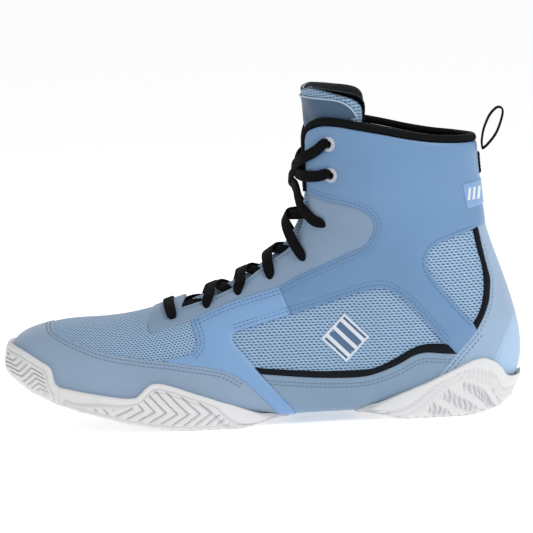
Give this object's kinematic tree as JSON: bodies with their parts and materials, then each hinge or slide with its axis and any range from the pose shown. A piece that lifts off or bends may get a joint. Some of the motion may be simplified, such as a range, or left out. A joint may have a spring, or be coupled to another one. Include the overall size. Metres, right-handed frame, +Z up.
{
  "type": "boxing boot",
  "caption": "Ankle-high laced boxing boot, left foot: split rubber sole, mesh and synthetic-leather upper, padded collar, folding tongue, heel pull loop.",
  "frame": {"origin": "centre of the footprint at floor level", "axes": "+X from toe to heel, -Y towards the outer (little-toe) side, +Z up"},
  "size_m": [0.2913, 0.1012, 0.1881],
  "materials": {
    "white_rubber": "moulded, matte",
    "satin_leather": "satin synthetic leather",
    "matte_microfibre": "matte microfibre",
    "cap_microfibre": "matte microfibre, a darker blue",
    "blue_mesh": "knitted spacer mesh",
    "black_textile": "woven or knitted textile",
    "black_piping": "smooth moulded piping",
    "black_plastic": "clear-coated film",
    "white_trim": "matte moulded film",
    "foam": "open foam",
    "fibre_board": "pressed fibre"
  },
  "bodies": {
    "boot": {"toe_bumper": "white_rubber", "forefoot_outsole": "white_rubber", "heel_outsole": "white_rubber", "ankle_cuff_lateral": "satin_leather", "ankle_cuff_medial": "satin_leather", "saddle_strap_lateral": "satin_leather", "saddle_strap_medial": "satin_leather", "toe_guard": "matte_microfibre", "eyestay": "matte_microfibre", "heel_cover": "matte_microfibre", "lower_quarter_lateral": "matte_microfibre", "lower_quarter_medial": "matte_microfibre", "tongue_body": "matte_microfibre", "heel_cap": "cap_microfibre", "vamp_mesh": "blue_mesh", "quarter_mesh_lateral": "blue_mesh", "quarter_mesh_medial": "blue_mesh", "heel_mesh_lateral": "blue_mesh", "heel_mesh_medial": "blue_mesh", "vamp_lining": "black_textile", "quarter_lining": "black_textile", "collar_lining": "black_textile", "sockliner": "black_textile", "lace": "black_textile", "collar_binding": "black_textile", "pull_loop_anchor": "black_textile", "side_piping_lateral": "black_piping", "side_piping_medial": "black_piping", "heel_piping_lateral": "black_piping", "heel_piping_medial": "black_piping", "aglet_lateral": "black_plastic", "aglet_medial": "black_plastic", "side_badge": "white_trim", "heel_patch": "white_trim", "eyelet_ring_lateral_7": "white_trim", "eyelet_ring_lateral_8": "white_trim", "eyelet_ring_medial_7": "white_trim", "eyelet_ring_medial_8": "white_trim", "collar_padding": "foam", "toe_puff": "foam", "heel_counter": "foam", "drop_in_midsole": "foam", "insole_board": "fibre_board", "lasting_board": "fibre_board"},
    "tongue": {"tongue_top": "blue_mesh", "tongue_lining": "black_textile", "tongue_facing": "matte_microfibre"},
    "loop": {"pull_loop": "black_textile"}
  },
  "joints": [
    {"name": "tongue_fold", "type": "hinge", "parent": "boot", "child": "tongue", "pos_m": [0.0284, 0, 0.171], "axis": [0, -1, 0], "range_deg": [0, 40], "stiffness_Nm_per_rad": 0.05},
    {"name": "loop_swing", "type": "hinge", "parent": "boot", "child": "loop", "pos_m": [0.1294, 0, 0.1474], "axis": [0, 1, 0], "range_deg": [-15, 120], "stiffness_Nm_per_rad": 0.01}
  ]
}
